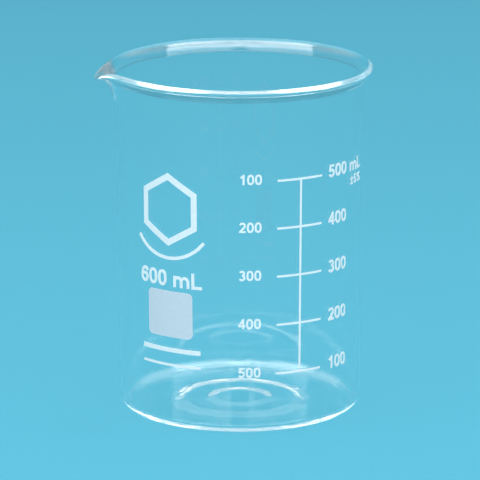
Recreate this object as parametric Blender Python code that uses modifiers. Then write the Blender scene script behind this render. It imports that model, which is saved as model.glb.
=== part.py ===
"""A 600 mL low-form glass beaker with a pouring spout and a fired white enamel scale.

The vessel is one blown piece of glass, and each enamel mark is a thin deposit of its own on the
outside of its wall. Lengths are in metres and +Z is up. The origin is the middle of the
underside, the spout points along -X and the marks face -Y. An azimuth is in degrees from the
front, -Y, towards +X.
"""

import math

import bmesh
import bpy
from mathutils import Matrix, Vector

MM = 0.001
MILLILITRE = 1e-6

# Glass.
HEIGHT = 125 * MM
WALL_RADIUS = 44.4 * MM
WALL_RADIUS_HEIGHT = 60 * MM
WALL_DRAFT = 0.77 / 60
WALL_THICKNESS = 1.7 * MM
BASE_THICKNESS = 2.2 * MM
FLOOR_DOME = 0.3 * MM
HEEL_RADIUS = 5.6 * MM
INNER_HEEL_RADIUS = 2.6 * MM
RIM_RADIUS = 47.2 * MM
LIP_BEND = 4.3 * MM
LIP_THICKNESS = 2.1 * MM
LIP_SWELL = 0.5
LIP_ROWS = 5
TURNS = 96

# Spout, pulled out of the rim along -X.
SPOUT_REACH = 5.8 * MM
SPOUT_DIP = 3.4 * MM
SPOUT_DIP_FOCUS = 2.2
SPOUT_DEPTH = 13 * MM
SPOUT_TIP_ROUNDING = 4 * MM
SPOUT_FLANK = 5.2 * MM
SPOUT_SWELL = 1.8

# Enamel.
ENAMEL_THICKNESS = 0.1 * MM
ENAMEL_GAP = 0.03 * MM
STRIP = 1.5 * MM
LINE_WIDTH = 0.75 * MM
BOLD = 0.19
LETTER_ADVANCE = {"m": 1.22, "L": 0.85, "%": 1.24, "±": 0.81, " ": 0.39}
DIGIT_ADVANCE = 0.745

# Scale: one stem crossed by a tick at each volume, numbered down on its left and up on its right.
SCALE_AZIMUTH = 18.4
SCALE_ZERO = 4.4 * MM
VOLUMES = (100, 200, 300, 400, 500)
TICK_HALF_WIDTH = 8.9 * MM
CONTENTS_CAP = 4.6 * MM
CONTENTS_START = 11.95 * MM
CONTENTS_STEP = 0.17 * MM
CONTENTS_BELOW_TICK = 1.45 * MM
REMOVED_CAP = 3.7 * MM
REMOVED_CENTRE = -18.5 * MM
REMOVED_BELOW_TICK = 1.1 * MM
UNIT_START = 24.2 * MM
TOLERANCE_CAP = 3.3 * MM
TOLERANCE_START = 24.8 * MM
TOLERANCE_BELOW_TICK = 6.3 * MM

# Label: capacity, writing patch and plain ornaments, all centred on one azimuth.
LABEL_AZIMUTH = -44.4
CAPACITY_CAP = 5.75 * MM
CAPACITY_HEIGHT = 52.7 * MM
PATCH_SIZE = (18.8 * MM, 16.8 * MM)
PATCH_HEIGHT = 42.6 * MM
PATCH_CORNER = 1.8 * MM
HEXAGON_HEIGHT = 80.6 * MM
HEXAGON_RADIUS = 11.9 * MM
HEXAGON_LINE = 2.2 * MM
ARC_RADIUS = 17.6 * MM
ARC_HALF_ANGLE = 52
ARC_LINE = 1.2 * MM
RULES = {"label_rule_upper": (29.5 * MM, 1.6 * MM), "label_rule_lower": (24 * MM, 0.9 * MM)}
RULE_HALF_LENGTH = 12.3 * MM


def clear_scene():
    for obj in list(bpy.data.objects):
        bpy.data.objects.remove(obj)


def new_collection(name):
    collection = bpy.data.collections.new(name)
    bpy.context.scene.collection.children.link(collection)
    return collection


def principled(name, colour, roughness, transmission=0.0):
    material = bpy.data.materials.new(name)
    material.use_nodes = True
    shader = material.node_tree.nodes["Principled BSDF"]
    shader.inputs["Base Color"].default_value = (*colour, 1)
    shader.inputs["Metallic"].default_value = 0
    shader.inputs["Roughness"].default_value = roughness
    shader.inputs["Transmission Weight"].default_value = transmission
    return material


def evaluated_mesh(obj):
    """The object's mesh with its modifiers applied, as a new mesh."""
    graph = bpy.context.evaluated_depsgraph_get()
    return bpy.data.meshes.new_from_object(obj.evaluated_get(graph))


def add_part(name, mesh, collection, material):
    mesh.name = name
    mesh.materials.clear()
    mesh.materials.append(material)
    mesh.shade_smooth()
    mesh.set_sharp_from_angle(angle=math.radians(35))
    part = bpy.data.objects.new(name, mesh)
    collection.objects.link(part)
    return part


def arc(centre, radii, start, end, steps):
    """Points along an elliptical arc, by angle in degrees from the first axis."""
    points = []
    for step in range(steps + 1):
        angle = math.radians(start + (end - start) * step / steps)
        points.append((centre[0] + radii[0] * math.cos(angle), centre[1] + radii[1] * math.sin(angle)))
    return points


def smooth_step(share):
    share = min(max(share, 0), 1)
    return share * share * (3 - 2 * share)


# --- Glass vessel -----------------------------------------------------------------------------


def wall_radius(height):
    """Outer radius of the wall, which is slightly wider at the top."""
    return WALL_RADIUS + WALL_DRAFT * (height - WALL_RADIUS_HEIGHT)


def inner_radius(height):
    return wall_radius(height) - WALL_THICKNESS


def lip_course():
    """The lip at mid-wall, bending outwards to its end, as (radius, height, turned angle, thickness)."""
    middle = wall_radius(HEIGHT) - WALL_THICKNESS / 2
    reach = RIM_RADIUS - LIP_THICKNESS / 2 - middle
    bend = math.acos(1 - reach / LIP_BEND)
    start = HEIGHT - LIP_THICKNESS / 2 - LIP_BEND * math.sin(bend)
    course = []
    for row in range(LIP_ROWS + 1):
        share = row / LIP_ROWS
        angle = bend * share
        radius = middle + LIP_BEND * (1 - math.cos(angle))
        height = start + LIP_BEND * math.sin(angle)
        thickness = WALL_THICKNESS + (LIP_THICKNESS - WALL_THICKNESS) * share**LIP_SWELL
        course.append((radius, height, angle, thickness))
    return course


def lip_face(side):
    """One face of the lip, from the wall to its end: side is -1 for the inner face, 1 for the outer."""
    points = []
    for radius, height, angle, thickness in lip_course():
        offset = side * thickness / 2
        points.append((radius + offset * math.cos(angle), height - offset * math.sin(angle)))
    return points


def lip_end():
    """The round end of the lip, from its inner face over its top and outermost points to its outer face."""
    radius, height, angle, thickness = lip_course()[-1]
    lean = math.degrees(angle)
    half = (thickness / 2, thickness / 2)
    points = arc((radius, height), half, 180 - lean, 90, 3)[1:]
    points += arc((radius, height), half, 90, 0, 5)[1:]
    points += arc((radius, height), half, 0, -lean, 3)[1:-1]
    return points


def vessel_profile():
    """Half section: from the middle of the floor up the inside, over the lip and down the outside."""
    heel_centre = (wall_radius(HEEL_RADIUS) - HEEL_RADIUS, HEEL_RADIUS)
    inner_heel_height = BASE_THICKNESS + INNER_HEEL_RADIUS
    inner_heel_centre = (inner_radius(inner_heel_height) - INNER_HEEL_RADIUS, inner_heel_height)
    inner_lip, outer_lip = lip_face(-1), lip_face(1)
    spout_start = HEIGHT - SPOUT_DEPTH
    lip_start = inner_lip[0][1]
    pulled_heights = [spout_start + (lip_start - spout_start) * row / 4 for row in range(4)]

    points = []
    for row in range(4):
        share = row / 4
        height = BASE_THICKNESS + FLOOR_DOME * (1 - smooth_step(share))
        points.append((inner_heel_centre[0] * share, height))
    points += arc(inner_heel_centre, (INNER_HEEL_RADIUS, INNER_HEEL_RADIUS), -90, 0, 6)
    points += [(inner_radius(height), height) for height in pulled_heights]
    points += inner_lip
    points += lip_end()
    points += reversed(outer_lip)
    points += [(wall_radius(height), height) for height in reversed(pulled_heights)]
    points += arc(heel_centre, (HEEL_RADIUS, HEEL_RADIUS), 0, -90, 6)
    points.append((0, 0))
    return points


def turned(name, profile):
    """The mesh of a profile in the XZ plane turned about Z."""
    line = bpy.data.meshes.new(name)
    edges = [(index, index + 1) for index in range(len(profile) - 1)]
    line.from_pydata([(x, 0, z) for x, z in profile], edges, [])
    blank = bpy.data.objects.new(name, line)
    bpy.context.scene.collection.objects.link(blank)
    screw = blank.modifiers.new("turn", "SCREW")
    screw.steps = TURNS
    screw.render_steps = TURNS
    screw.use_merge_vertices = True
    screw.merge_threshold = 0.01 * MM
    mesh = evaluated_mesh(blank)
    bpy.data.objects.remove(blank)
    return mesh


def pull_spout(mesh):
    """Draws the rim out along -X into a lip that narrows to a rounded tip and dips there."""
    for vertex in mesh.vertices:
        x, y, z = vertex.co
        rise = (z - (HEIGHT - SPOUT_DEPTH)) / SPOUT_DEPTH
        if x >= 0 or rise <= 0:
            continue
        across = math.hypot(x, y) * math.atan2(abs(y), -x)
        from_tip = math.hypot(across, SPOUT_TIP_ROUNDING) - SPOUT_TIP_ROUNDING
        pull = math.exp(-from_tip / SPOUT_FLANK) * min(rise, 1) ** SPOUT_SWELL
        vertex.co.x -= SPOUT_REACH * pull
        vertex.co.z -= SPOUT_DIP * pull**SPOUT_DIP_FOCUS


def add_vessel(collection, material):
    mesh = turned("glass_vessel", vessel_profile())
    pull_spout(mesh)
    add_part("glass_vessel", mesh, collection, material)


def height_of(volume):
    """Height above the underside of the line for a volume, found slice by slice up the bore."""
    slice_height = 0.02 * MM
    height = SCALE_ZERO
    while volume > 0:
        height += slice_height
        volume -= math.pi * inner_radius(height) ** 2 * slice_height
    return height


# --- Enamel marks -----------------------------------------------------------------------------


def stroke(points, width, closed=False):
    """A flat stroke along a line in the XY plane: a fence one unit high, thickened to its width."""
    curve = bpy.data.curves.new("stroke", "CURVE")
    curve.dimensions = "3D"
    curve.extrude = 0.5
    spline = curve.splines.new("POLY")
    spline.points.add(len(points) - 1)
    for control, (x, y) in zip(spline.points, points):
        control.co = (x, y, 0.5, 1)
    spline.use_cyclic_u = closed
    guide = bpy.data.objects.new("stroke", curve)
    bpy.context.scene.collection.objects.link(guide)
    fence = bpy.data.objects.new("stroke", evaluated_mesh(guide))
    bpy.data.objects.remove(guide)
    bpy.context.scene.collection.objects.link(fence)
    solidify = fence.modifiers.new("width", "SOLIDIFY")
    solidify.thickness = width
    solidify.offset = 0
    solidify.use_even_offset = True
    return fence


def joined(strokes):
    """One mesh from strokes that cross or touch, and the strokes removed."""
    first, *others = strokes
    for other in others:
        union = first.modifiers.new("union", "BOOLEAN")
        union.operation = "UNION"
        union.object = other
    mesh = evaluated_mesh(first)
    for obj in strokes:
        bpy.data.objects.remove(obj)
    shape = bmesh.new()
    shape.from_mesh(mesh)
    bmesh.ops.remove_doubles(shape, verts=shape.verts, dist=1e-5)
    bmesh.ops.dissolve_limit(shape, angle_limit=math.radians(0.5), verts=shape.verts, edges=shape.edges)
    bmesh.ops.recalc_face_normals(shape, faces=shape.faces)
    shape.to_mesh(mesh)
    shape.free()
    return mesh


def oval(centre, radii, squareness=1.0, steps=20):
    """A closed oval whose sides straighten as squareness falls below 1."""
    points = []
    for step in range(steps):
        angle = math.tau * (step + 0.5) / steps
        cosine, sine = math.cos(angle), math.sin(angle)
        x = math.copysign(abs(cosine) ** squareness, cosine)
        y = math.copysign(abs(sine) ** squareness, sine)
        points.append((centre[0] + radii[0] * x, centre[1] + radii[1] * y))
    return points


def glyph_zero():
    return [stroke(oval((0.37, 0.5), (0.24, 0.41), 0.8), BOLD, closed=True)]


def glyph_one():
    stem = stroke([(0.44, 0), (0.44, 1)], BOLD)
    flag = stroke([(0.44, 0.86), (0.15, 0.69)], 0.17)
    return [stem, flag]


def glyph_two():
    hook = arc((0.37, 0.70), (0.235, 0.215), 165, -38, 9)
    return [stroke(hook + [(0.17, 0.10)], BOLD), stroke([(0.05, 0.09), (0.68, 0.09)], 0.18)]


def glyph_three():
    upper = stroke(arc((0.355, 0.72), (0.215, 0.19), 155, -90, 9), BOLD)
    lower = stroke(arc((0.355, 0.30), (0.245, 0.22), 90, -155, 9), BOLD)
    return [upper, lower]


def glyph_four():
    slope = stroke([(0.09, 0.29), (0.50, 0.93)], 0.17)
    bar = stroke([(0.03, 0.295), (0.71, 0.295)], 0.17)
    return [stroke([(0.50, 0), (0.50, 1)], BOLD), slope, bar]


def glyph_five():
    back = stroke([(0.225, 0.98), (0.165, 0.47)], 0.17)
    bar = stroke([(0.17, 0.905), (0.65, 0.905)], 0.17)
    bowl = stroke(arc((0.36, 0.335), (0.245, 0.245), 140, -155, 11), BOLD)
    return [bar, back, bowl]


def glyph_six():
    bowl = stroke(oval((0.38, 0.325), (0.235, 0.235), steps=16), BOLD, closed=True)
    back = stroke(arc((0.41, 0.47), (0.275, 0.44), 185, 35, 8), BOLD)
    return [bowl, back]


def glyph_m():
    strokes = [stroke([(0.16, 0), (0.16, 0.725)], BOLD)]
    for left in (0.16, 0.62):
        arch = arc((left + 0.23, 0.42), (0.23, 0.21), 180, 0, 7)
        strokes.append(stroke([(left, 0.30)] + arch + [(left + 0.46, 0)], BOLD))
    return strokes


def glyph_l():
    return [stroke([(0.19, 1), (0.19, 0.09), (0.78, 0.09)], BOLD)]


def glyph_plus_minus():
    bars = [stroke([(0.06, height), (0.70, height)], 0.15) for height in (0.08, 0.60)]
    return [stroke([(0.38, 0.08), (0.38, 0.92)], 0.15)] + bars


def glyph_percent():
    centres = ((0.42, 0.74), (0.82, 0.26))
    rings = [stroke(oval(centre, (0.18, 0.18), steps=10), 0.13, closed=True) for centre in centres]
    return [stroke([(0.43, 0), (0.81, 1)], 0.13)] + rings


GLYPHS = {
    "0": glyph_zero,
    "1": glyph_one,
    "2": glyph_two,
    "3": glyph_three,
    "4": glyph_four,
    "5": glyph_five,
    "6": glyph_six,
    "m": glyph_m,
    "L": glyph_l,
    "±": glyph_plus_minus,
    "%": glyph_percent,
}
GLYPH_WORDS = {"m": "letter_m", "L": "letter_l", "±": "plus_minus", "%": "percent"}


def wrap(mesh, azimuth, height):
    """Bends flat art, X along the wall and Y up, round the glass with its face outwards."""
    shape = bmesh.new()
    shape.from_mesh(mesh)
    left = min(vertex.co.x for vertex in shape.verts)
    right = max(vertex.co.x for vertex in shape.verts)
    for cut in range(math.ceil(left / STRIP), math.floor(right / STRIP) + 1):
        geometry = shape.verts[:] + shape.edges[:] + shape.faces[:]
        plane = Vector((cut * STRIP, 0, 0))
        bmesh.ops.bisect_plane(shape, geom=geometry, plane_co=plane, plane_no=Vector((1, 0, 0)), dist=1e-7)
    bmesh.ops.triangulate(shape, faces=shape.faces)
    for vertex in shape.verts:
        x, y, depth = vertex.co
        z = height + y
        angle = math.radians(azimuth) + x / wall_radius(z)
        radius = wall_radius(z) + ENAMEL_GAP + depth
        vertex.co = (radius * math.sin(angle), -radius * math.cos(angle), z)
    shape.to_mesh(mesh)
    shape.free()


class Printer:
    """Places enamel marks on the wall."""

    def __init__(self, collection, material):
        self.collection = collection
        self.material = material
        self.glyphs = {}

    def add(self, name, mesh, azimuth, height):
        """A flat mesh one unit thick, already in metres across, fired on at a place on the wall."""
        mesh.transform(Matrix.Diagonal((1, 1, ENAMEL_THICKNESS, 1)))
        wrap(mesh, azimuth, height)
        add_part(name, mesh, self.collection, self.material)

    def glyph(self, letter):
        if letter not in self.glyphs:
            self.glyphs[letter] = joined(GLYPHS[letter]())
        return self.glyphs[letter].copy()

    def line_of(self, text, prefix, cap, start, azimuth, height):
        """Writes text from its left end, one node for each character."""
        for index, letter in enumerate(text, start=1):
            if letter != " ":
                mesh = self.glyph(letter)
                mesh.transform(Matrix.Translation((start, 0, 0)) @ Matrix.Diagonal((cap, cap, 1, 1)))
                word = GLYPH_WORDS.get(letter, f"digit_{index}")
                self.add(f"{prefix}_{word}", mesh, azimuth, height)
            start += LETTER_ADVANCE.get(letter, DIGIT_ADVANCE) * cap


def text_width(text, cap):
    return sum(LETTER_ADVANCE.get(letter, DIGIT_ADVANCE) for letter in text) * cap


def add_scale(printer):
    """The stem with its ticks, the numbers on both sides, the unit and the tolerance."""
    heights = [height_of(volume * MILLILITRE) for volume in VOLUMES]
    middle = heights[0]
    ticks = [
        stroke([(-TICK_HALF_WIDTH, height - middle), (TICK_HALF_WIDTH, height - middle)], LINE_WIDTH)
        for height in heights
    ]
    stem = stroke([(0, 0), (0, heights[-1] - middle)], LINE_WIDTH)
    printer.add("scale_stem_and_ticks", joined([stem] + ticks), SCALE_AZIMUTH, middle)

    removed_start = REMOVED_CENTRE - text_width("500", REMOVED_CAP) / 2
    for row, (volume, height) in enumerate(zip(reversed(VOLUMES), reversed(heights))):
        start = CONTENTS_START + row * CONTENTS_STEP
        baseline = height - CONTENTS_BELOW_TICK
        printer.line_of(str(volume), f"contents_{volume}", CONTENTS_CAP, start, SCALE_AZIMUTH, baseline)
    for volume, height in zip(VOLUMES, reversed(heights)):
        baseline = height - REMOVED_BELOW_TICK
        printer.line_of(
            str(volume), f"removed_{volume}", REMOVED_CAP, removed_start, SCALE_AZIMUTH, baseline
        )
    top = heights[-1]
    printer.line_of("mL", "unit", CONTENTS_CAP, UNIT_START, SCALE_AZIMUTH, top - CONTENTS_BELOW_TICK)
    printer.line_of(
        "±5%", "tolerance", TOLERANCE_CAP, TOLERANCE_START, SCALE_AZIMUTH, top - TOLERANCE_BELOW_TICK
    )


def patch_mesh():
    """A rectangle with rounded corners, filled and one unit thick."""
    half_width, half_height = PATCH_SIZE[0] / 2 - PATCH_CORNER, PATCH_SIZE[1] / 2 - PATCH_CORNER
    corners = ((half_width, half_height), (-half_width, half_height))
    corners += ((-half_width, -half_height), (half_width, -half_height))
    points = []
    for index, corner in enumerate(corners):
        points += arc(corner, (PATCH_CORNER, PATCH_CORNER), 90 * index, 90 * index + 90, 5)
    curve = bpy.data.curves.new("patch", "CURVE")
    curve.dimensions = "2D"
    curve.fill_mode = "BOTH"
    curve.extrude = 0.5
    spline = curve.splines.new("POLY")
    spline.points.add(len(points) - 1)
    for control, (x, y) in zip(spline.points, points):
        control.co = (x, y, 0, 1)
    spline.use_cyclic_u = True
    outline = bpy.data.objects.new("patch", curve)
    bpy.context.scene.collection.objects.link(outline)
    mesh = evaluated_mesh(outline)
    bpy.data.objects.remove(outline)
    mesh.transform(Matrix.Translation((0, 0, 0.5)))
    shape = bmesh.new()
    shape.from_mesh(mesh)
    bmesh.ops.remove_doubles(shape, verts=shape.verts, dist=0.001 * MM)
    bmesh.ops.recalc_face_normals(shape, faces=shape.faces)
    shape.to_mesh(mesh)
    shape.free()
    return mesh


def add_label(printer):
    """Capacity, writing patch, and the plain hexagon, arc and rules round them."""
    capacity_start = -text_width("600 mL", CAPACITY_CAP) / 2
    printer.line_of("600 mL", "capacity", CAPACITY_CAP, capacity_start, LABEL_AZIMUTH, CAPACITY_HEIGHT)
    printer.add("writing_patch", patch_mesh(), LABEL_AZIMUTH, PATCH_HEIGHT)

    corners = arc((0, 0), (HEXAGON_RADIUS, HEXAGON_RADIUS), 90, 390, 5)
    printer.add(
        "label_hexagon", joined([stroke(corners, HEXAGON_LINE, closed=True)]), LABEL_AZIMUTH, HEXAGON_HEIGHT
    )
    sweep = arc((0, 0), (ARC_RADIUS, ARC_RADIUS), -90 - ARC_HALF_ANGLE, -90 + ARC_HALF_ANGLE, 20)
    printer.add("label_arc", joined([stroke(sweep, ARC_LINE)]), LABEL_AZIMUTH, HEXAGON_HEIGHT)
    for name, (height, width) in RULES.items():
        line = stroke([(-RULE_HALF_LENGTH, 0), (RULE_HALF_LENGTH, 0)], width)
        printer.add(name, joined([line]), LABEL_AZIMUTH, height)


def main():
    clear_scene()
    collection = new_collection("beaker")
    glass = principled("borosilicate_glass", (0.93, 0.97, 0.97), 0.02, transmission=1.0)
    enamel = principled("white_enamel", (0.86, 0.89, 0.92), 0.45)
    add_vessel(collection, glass)
    printer = Printer(collection, enamel)
    add_scale(printer)
    add_label(printer)


main()
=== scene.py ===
"""Looks for the 600 mL glass beaker.

The vessel is turned again at full smoothness round the CAD one, with the slight waviness and the
moulded floor of real glass, and the fired enamel marks keep their CAD shapes under a ceramic
material. Lengths are in metres, +Z is up, the spout points along -X and the marks face -Y. An
azimuth is measured from -Y towards +X.
"""

import math

import bpy
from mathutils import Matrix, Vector


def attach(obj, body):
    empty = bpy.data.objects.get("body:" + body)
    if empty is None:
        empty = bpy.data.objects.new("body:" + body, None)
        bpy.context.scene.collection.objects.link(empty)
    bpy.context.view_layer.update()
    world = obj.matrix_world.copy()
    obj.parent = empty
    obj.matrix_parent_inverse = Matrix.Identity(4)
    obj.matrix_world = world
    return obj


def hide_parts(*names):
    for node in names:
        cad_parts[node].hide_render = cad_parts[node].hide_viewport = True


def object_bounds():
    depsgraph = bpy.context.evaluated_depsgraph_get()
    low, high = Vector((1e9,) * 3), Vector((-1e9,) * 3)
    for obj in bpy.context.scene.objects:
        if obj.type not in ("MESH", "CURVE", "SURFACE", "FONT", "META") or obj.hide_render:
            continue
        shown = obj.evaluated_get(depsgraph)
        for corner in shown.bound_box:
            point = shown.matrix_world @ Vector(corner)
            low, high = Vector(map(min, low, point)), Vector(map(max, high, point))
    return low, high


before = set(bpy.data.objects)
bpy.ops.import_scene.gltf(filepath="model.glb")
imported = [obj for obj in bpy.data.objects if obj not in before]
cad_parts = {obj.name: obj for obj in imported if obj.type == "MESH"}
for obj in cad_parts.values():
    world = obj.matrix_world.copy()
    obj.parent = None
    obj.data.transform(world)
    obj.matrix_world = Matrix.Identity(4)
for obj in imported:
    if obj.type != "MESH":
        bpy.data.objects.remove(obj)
cad_low, cad_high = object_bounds()

MM = 0.001

# Vessel, to the CAD model's own dimensions.
HEIGHT = cad_high.z
RIM_RADIUS = cad_high.x
WALL_RADIUS = 44.4 * MM
WALL_RADIUS_HEIGHT = 60 * MM
WALL_DRAFT = 0.77 / 60
WALL_THICKNESS = 1.7 * MM
BASE_THICKNESS = 2.2 * MM
HEEL_RADIUS = 5.6 * MM
INNER_HEEL_RADIUS = 2.6 * MM
LIP_BEND = 4.3 * MM
LIP_THICKNESS = 2.1 * MM
LIP_SWELL = 0.5
SPOUT_REACH = 5.78 * MM
SPOUT_DIP = 3.4 * MM
SPOUT_DIP_FOCUS = 2.2
SPOUT_DEPTH = 13 * MM
SPOUT_TIP_ROUNDING = 4 * MM
SPOUT_FLANK = 5.2 * MM
SPOUT_SWELL = 1.8

# Fine form of the glass, which the CAD model leaves out. Each ring on the underside is (radius,
# width, depth), and each wave round the wall is (waves per turn, phase, drift, share).
INNER_RIPPLE = 0.03 * MM
OUTER_RIPPLE = 0.012 * MM
FLOOR_DOME = 0.3 * MM
RINGS = [(22.8 * MM, 6.2 * MM, 0.98 * MM), (10.6 * MM, 4.6 * MM, 0.5 * MM)]
RING_WANDER = 0.03
WAVES = [(3, 0.4, 0.5, 0.4), (7, 2.1, -0.3, 0.28), (13, 0.9, 0.2, 0.2), (29, 1.7, 0, 0.12)]
WAVE_DRIFT_HEIGHT = 40 * MM
WAVE_FADE = 12 * MM
WAVE_TOP = 20 * MM

# Mesh: columns round the vessel, and rows along each stretch of its section.
TURNS = 360
SPOUT_CROWDING = 0.6
FLOOR_ROWS = 26
CORNER_ROWS = 18
WALL_ROWS = 40
SPOUT_ROWS = 30
LIP_ROWS = 36
LIP_END_ROWS = 24
UNDERSIDE_ROWS = 60

# Enamel.
MARK_TONE = (0.98, 0.98, 0.98)
PATCH_TONE = (0.74, 0.77, 0.82)

# Camera, at the photograph's viewing angle. Angles are in degrees and the lens in millimetres.
CAMERA_AZIMUTH = -10
CAMERA_DISTANCE = 1.6
CAMERA_HEIGHT = 0.4614
CAMERA_PITCH = 14.073
CAMERA_LENS = 344.4
SENSOR_WIDTH = 36

# Studio. The world goes by degrees above the horizon. Each panel is (azimuth from the camera's,
# elevation, size, radiance, whether it lights matt surfaces).
FLOOR_HALF_SIDE = 9
FLOOR_GAP = 0.1 * MM
FLOOR_COLOUR = (0.052, 0.245, 0.33)
FAR_FLOOR_COLOUR = (0.076, 0.314, 0.42)
HORIZON_COLOUR = (0.115, 0.5, 0.675)
DOME_COLOUR = (1.2, 1.2, 1.2)
ZENITH_COLOUR = (1.5, 1.5, 1.5)
HORIZON_FULL = 10
DOME_START = 19
DOME_FULL = 32
PANEL_DISTANCE = 1.6
PANELS = {
    "left_panel": (-41, 35, (2.0, 0.95), 1.6, True),
    "right_panel": (41, 35, (2.0, 0.95), 1.6, True),
    "left_top_panel": (-48, 63, (1.7, 0.75), 3.2, True),
    "right_top_panel": (48, 63, (1.7, 0.75), 3.2, True),
    "left_glass_panel": (-41, 43, (2.0, 1.6), 2.0, False),
    "right_glass_panel": (41, 43, (2.0, 1.6), 2.0, False),
}


def direction(azimuth):
    """Unit vector of an azimuth in degrees."""
    angle = math.radians(azimuth)
    return Vector((math.sin(angle), -math.cos(angle), 0))


def arc(centre, radius, start, end, steps):
    """Points along a circular arc in the half section, by angle in degrees from outwards."""
    points = []
    for step in range(steps + 1):
        angle = math.radians(start + (end - start) * step / steps)
        points.append((centre[0] + radius * math.cos(angle), centre[1] + radius * math.sin(angle)))
    return points


def smooth_step(share):
    share = min(max(share, 0), 1)
    return share * share * (3 - 2 * share)


def spread(start, end, steps):
    """Evenly spaced numbers from start to end, both included."""
    return [start + (end - start) * step / steps for step in range(steps + 1)]


# --- Vessel -----------------------------------------------------------------------------------


def wall_radius(height):
    return WALL_RADIUS + WALL_DRAFT * (height - WALL_RADIUS_HEIGHT)


def inner_radius(height):
    return wall_radius(height) - WALL_THICKNESS


def floor_height(radius, flat_radius):
    """Inner floor, domed a little towards the middle."""
    return BASE_THICKNESS + FLOOR_DOME * (1 - smooth_step(radius / flat_radius))


def underside_height(radius, angle):
    """Underside, with the not quite round steps that a mould leaves.

    They are higher than a real mould's, so that they show in the floor as they do in the photograph.
    """
    radius *= 1 + RING_WANDER * ripple(angle, 0)
    height = 0
    for ring_radius, width, depth in RINGS:
        height += depth * (1 - smooth_step((radius - ring_radius) / width + 0.5))
    return height


def lip_course():
    """The lip at mid-wall, bent outwards from the wall, as (radius, height, turned angle, thickness)."""
    middle = wall_radius(HEIGHT) - WALL_THICKNESS / 2
    reach = RIM_RADIUS - LIP_THICKNESS / 2 - middle
    bend = math.acos(1 - reach / LIP_BEND)
    start = HEIGHT - LIP_THICKNESS / 2 - LIP_BEND * math.sin(bend)
    course = []
    for share in spread(0, 1, LIP_ROWS):
        angle = bend * share
        radius = middle + LIP_BEND * (1 - math.cos(angle))
        height = start + LIP_BEND * math.sin(angle)
        thickness = WALL_THICKNESS + (LIP_THICKNESS - WALL_THICKNESS) * share**LIP_SWELL
        course.append((radius, height, angle, thickness))
    return course


def lip_face(side):
    """One face of the lip, from the wall to its end: side is -1 for the inner face, 1 for the outer."""
    points = []
    for radius, height, angle, thickness in lip_course():
        offset = side * thickness / 2
        points.append((radius + offset * math.cos(angle), height - offset * math.sin(angle)))
    return points


def wall_heights(low):
    """Heights of rings up the wall, from low to the lip, closer together where the spout is pulled."""
    spout_start = HEIGHT - SPOUT_DEPTH
    return spread(low, spout_start, WALL_ROWS) + spread(spout_start, lip_course()[0][1], SPOUT_ROWS)[1:-1]


def inner_profile():
    """From the middle of the floor up the inside of the lip, as (radius, height)."""
    corner_height = BASE_THICKNESS + INNER_HEEL_RADIUS
    flat_radius = inner_radius(corner_height) - INNER_HEEL_RADIUS
    points = [(radius, floor_height(radius, flat_radius)) for radius in spread(0, flat_radius, FLOOR_ROWS)]
    points += arc((flat_radius, corner_height), INNER_HEEL_RADIUS, -90, 0, CORNER_ROWS)[1:]
    points += [(inner_radius(height), height) for height in wall_heights(corner_height)[1:]]
    return points + lip_face(-1)


def outer_profile():
    """From the lip's round end down the outside to the middle of the underside, as (radius, height).

    The underside is flat here, and ring_points gives it its moulded steps.
    """
    end_radius, end_height, turned, thickness = lip_course()[-1]
    lean = math.degrees(turned)
    points = arc((end_radius, end_height), thickness / 2, 180 - lean, -lean, LIP_END_ROWS)[1:-1]
    points += reversed(lip_face(1))
    points += [(wall_radius(height), height) for height in reversed(wall_heights(HEEL_RADIUS)[1:])]
    foot_radius = wall_radius(HEEL_RADIUS) - HEEL_RADIUS
    points += arc((foot_radius, HEEL_RADIUS), HEEL_RADIUS, 0, -90, CORNER_ROWS)
    points += [(radius, 0) for radius in spread(foot_radius, 0, UNDERSIDE_ROWS)[1:]]
    return points


def ripple(angle, height):
    """Waviness of drawn glass, from -1 to 1: long vertical waves that wander slowly with height."""
    climb = height / WAVE_DRIFT_HEIGHT
    return sum(
        share * math.sin(count * angle + phase + drift * climb) for count, phase, drift, share in WAVES
    )


def wall_share(height):
    """1 on the straight wall, fading to 0 at the floor and at the flare."""
    rise = smooth_step((height - HEEL_RADIUS) / WAVE_FADE)
    return rise * (1 - smooth_step((height - HEIGHT + WAVE_TOP) / WAVE_FADE))


def pulled(x, y, z):
    """A point of the rim after the spout has been drawn out along -X."""
    rise = (z - (HEIGHT - SPOUT_DEPTH)) / SPOUT_DEPTH
    if x >= 0 or rise <= 0:
        return (x, y, z)
    across = math.hypot(x, y) * math.atan2(abs(y), -x)
    from_tip = math.hypot(across, SPOUT_TIP_ROUNDING) - SPOUT_TIP_ROUNDING
    pull = math.exp(-from_tip / SPOUT_FLANK) * min(rise, 1) ** SPOUT_SWELL
    return (x - SPOUT_REACH * pull, y, z - SPOUT_DIP * pull**SPOUT_DIP_FOCUS)


def turn_angle(turn):
    """Angle of a column of points, closer together at the spout."""
    angle = math.tau * turn / TURNS
    return angle + SPOUT_CROWDING * math.sin(angle)


def ring_points(radius, height, amplitude, offset):
    """One ring of the vessel. Its radius waves by amplitude, about a mean offset amplitudes smaller."""
    points = []
    for turn in range(TURNS):
        angle = turn_angle(turn)
        wave = amplitude * wall_share(height) * (ripple(angle, height) - offset)
        reach = radius + wave
        rise = underside_height(radius, angle) if height == 0 else height
        points.append(pulled(reach * math.cos(angle), reach * math.sin(angle), rise))
    return points


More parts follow.
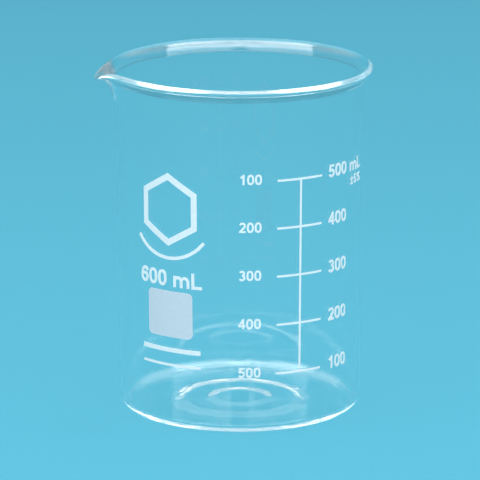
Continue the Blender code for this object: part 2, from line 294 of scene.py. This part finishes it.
def vessel_mesh():
    inner, outer = inner_profile(), outer_profile()
    rings = [(*point, INNER_RIPPLE, 0) for point in inner] + [(*point, OUTER_RIPPLE, 1) for point in outer]
    points = [(0, 0, rings[0][1])]
    for ring in rings[1:-1]:
        points += ring_points(*ring)
    points.append((0, 0, underside_height(0, 0)))
    last = len(points) - 1
    faces = []
    for turn in range(TURNS):
        following = (turn + 1) % TURNS
        faces.append((0, 1 + turn, 1 + following))
        for ring in range(len(rings) - 3):
            start = 1 + ring * TURNS
            faces.append(
                (start + turn, start + TURNS + turn, start + TURNS + following, start + following)
            )
        start = 1 + (len(rings) - 3) * TURNS
        faces.append((start + turn, last, start + following))
    mesh = bpy.data.meshes.new("glass_vessel_fine")
    mesh.from_pydata(points, [], faces)
    mesh.validate()
    mesh.shade_smooth()
    return mesh


# --- Materials --------------------------------------------------------------------------------


def new_material(name):
    """A node material, its tree and its Principled shader."""
    material = bpy.data.materials.new(name)
    material.use_nodes = True
    tree = material.node_tree
    return material, tree, tree.nodes["Principled BSDF"]


def noise(tree, scale, detail=3.0, stretch=(1, 1, 1)):
    """Noise over object coordinates, in features of 1/scale metres."""
    place = tree.nodes.new("ShaderNodeTexCoord")
    mapping = tree.nodes.new("ShaderNodeMapping")
    mapping.inputs["Scale"].default_value = stretch
    texture = tree.nodes.new("ShaderNodeTexNoise")
    texture.inputs["Scale"].default_value = scale
    texture.inputs["Detail"].default_value = detail
    tree.links.new(place.outputs["Object"], mapping.inputs["Vector"])
    tree.links.new(mapping.outputs["Vector"], texture.inputs["Vector"])
    return texture.outputs["Fac"]


def ramp(tree, value, stops):
    """A colour ramp over value, from (position, colour) pairs."""
    node = tree.nodes.new("ShaderNodeValToRGB")
    elements = node.color_ramp.elements
    while len(elements) < len(stops):
        elements.new(0.5)
    for element, (position, colour) in zip(elements, stops):
        element.position = position
        element.color = (*colour, 1)
    tree.links.new(value, node.inputs["Fac"])
    return node.outputs["Color"]


def bump(tree, shader, height, distance, strength=1.0):
    node = tree.nodes.new("ShaderNodeBump")
    node.inputs["Distance"].default_value = distance
    node.inputs["Strength"].default_value = strength
    tree.links.new(height, node.inputs["Height"])
    tree.links.new(node.outputs["Normal"], shader.inputs["Normal"])


def grey(value):
    return (value, value, value)


def glass_material():
    """Clear borosilicate: nearly colourless, fire-polished, with faint smears and a slow ripple."""
    material, tree, shader = new_material("borosilicate_glass_fine")
    shader.inputs["Transmission Weight"].default_value = 1.0
    shader.inputs["IOR"].default_value = 1.474
    smear = noise(tree, 60, 4, (1, 1, 0.35))
    tint = ramp(tree, smear, [(0.3, (0.985, 0.993, 0.989)), (0.7, (0.994, 0.998, 0.996))])
    tree.links.new(tint, shader.inputs["Base Color"])
    roughness = ramp(tree, smear, [(0.45, grey(0.0)), (0.8, grey(0.035))])
    tree.links.new(roughness, shader.inputs["Roughness"])
    bump(tree, shader, noise(tree, 35, 2, (1, 1, 0.3)), 0.02 * MM, 0.6)
    return material


def enamel_material(name, tone):
    """Fired white ceramic enamel: satin, slightly grainy and slightly uneven in tone."""
    material, tree, shader = new_material(name)
    grain = noise(tree, 900, 4)
    darker, lighter = [tuple(share * channel for channel in tone) for share in (0.69, 0.75)]
    colour = ramp(tree, grain, [(0.3, darker), (0.7, lighter)])
    tree.links.new(colour, shader.inputs["Base Color"])
    sheen = ramp(tree, noise(tree, 400, 3), [(0.3, grey(0.34)), (0.7, grey(0.5))])
    tree.links.new(sheen, shader.inputs["Roughness"])
    bump(tree, shader, noise(tree, 6000, 2), 0.02 * MM, 0.5)
    return material


def floor_material():
    """Plain pale paper with a faint tooth."""
    material, tree, shader = new_material("studio_floor")
    darker = tuple(0.97 * channel for channel in FLOOR_COLOUR)
    tree.links.new(
        ramp(tree, noise(tree, 700, 5), [(0.3, darker), (0.7, FLOOR_COLOUR)]), shader.inputs["Base Color"]
    )
    shader.inputs["Roughness"].default_value = 0.9
    shader.inputs["Specular IOR Level"].default_value = 0.1
    return material


# --- Studio -----------------------------------------------------------------------------------


def add_floor():
    mesh = bpy.data.meshes.new("studio_floor")
    side = FLOOR_HALF_SIDE
    corners = [(-side, -side, 0), (side, -side, 0), (side, side, 0), (-side, side, 0)]
    mesh.from_pydata(corners, [], [(0, 1, 2, 3)])
    mesh.materials.append(floor_material())
    floor = bpy.data.objects.new("studio_floor", mesh)
    floor.location.z = -FLOOR_GAP
    bpy.context.scene.collection.objects.link(floor)


def add_panel(name, azimuth, elevation, size, radiance, lights_matt_surfaces):
    """A soft rectangular light aimed at the beaker, as bright all over as radiance.

    One that doesn't light matt surfaces only shows in the glass.
    """
    light = bpy.data.lights.new(name, "AREA")
    light.shape = "RECTANGLE"
    light.size, light.size_y = size
    light.energy = radiance * math.pi * size[0] * size[1]
    lamp = bpy.data.objects.new(name, light)
    rise = math.radians(elevation)
    outwards = direction(CAMERA_AZIMUTH + azimuth) * math.cos(rise) + Vector((0, 0, math.sin(rise)))
    lamp.location = outwards * PANEL_DISTANCE + Vector((0, 0, HEIGHT / 2))
    lamp.rotation_euler = (-outwards).to_track_quat("-Z", "Y").to_euler()
    lamp.visible_diffuse = lights_matt_surfaces
    bpy.context.scene.collection.objects.link(lamp)


def set_world():
    """The far floor's colour at the horizon, the near floor's above it, then a soft white dome."""
    world = bpy.data.worlds.new("studio")
    world.use_nodes = True
    tree = world.node_tree
    place = tree.nodes.new("ShaderNodeTexCoord")
    split = tree.nodes.new("ShaderNodeSeparateXYZ")
    tree.links.new(place.outputs["Generated"], split.inputs["Vector"])
    stops = [
        (0, FAR_FLOOR_COLOUR),
        (math.sin(math.radians(HORIZON_FULL)), HORIZON_COLOUR),
        (math.sin(math.radians(DOME_START)), HORIZON_COLOUR),
        (math.sin(math.radians(DOME_FULL)), DOME_COLOUR),
        (1, ZENITH_COLOUR),
    ]
    tree.links.new(ramp(tree, split.outputs["Z"], stops), tree.nodes["Background"].inputs["Color"])
    bpy.context.scene.world = world


def add_camera():
    data = bpy.data.cameras.new("camera")
    data.lens = CAMERA_LENS
    data.sensor_width = SENSOR_WIDTH
    data.clip_start = 0.05
    data.clip_end = 50
    camera = bpy.data.objects.new("camera", data)
    away = direction(CAMERA_AZIMUTH)
    camera.location = away * CAMERA_DISTANCE + Vector((0, 0, CAMERA_HEIGHT))
    pitch = math.radians(CAMERA_PITCH)
    aim = -away * math.cos(pitch) - Vector((0, 0, math.sin(pitch)))
    camera.rotation_euler = aim.to_track_quat("-Z", "Y").to_euler()
    bpy.context.scene.collection.objects.link(camera)
    bpy.context.scene.camera = camera


def set_rendering():
    """Enough bounces for thick glass, and plain colours."""
    scene = bpy.context.scene
    scene.view_settings.view_transform = "Standard"
    scene.cycles.max_bounces = 1024
    scene.cycles.transmission_bounces = 128
    scene.cycles.glossy_bounces = 1024
    scene.cycles.transparent_max_bounces = 16
    scene.cycles.caustics_reflective = False
    scene.cycles.caustics_refractive = False


def add_vessel():
    mesh = vessel_mesh()
    mesh.materials.append(glass_material())
    vessel = bpy.data.objects.new("glass_vessel_fine", mesh)
    bpy.context.scene.collection.objects.link(vessel)
    vessel.visible_shadow = False
    vessel.visible_diffuse = False
    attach(vessel, "root")
    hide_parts("glass_vessel")


def finish_enamel():
    """The marks in a full coat of enamel, and the writing patch in a thinner, greyer one."""
    enamel = enamel_material("white_enamel_fired", MARK_TONE)
    thin_enamel = enamel_material("white_enamel_thin", PATCH_TONE)
    for name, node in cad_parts.items():
        if name != "glass_vessel":
            node.data.materials.clear()
            node.data.materials.append(thin_enamel if name == "writing_patch" else enamel)


add_vessel()
finish_enamel()
add_floor()
for panel, setting in PANELS.items():
    add_panel(panel, *setting)
set_world()
add_camera()
set_rendering()
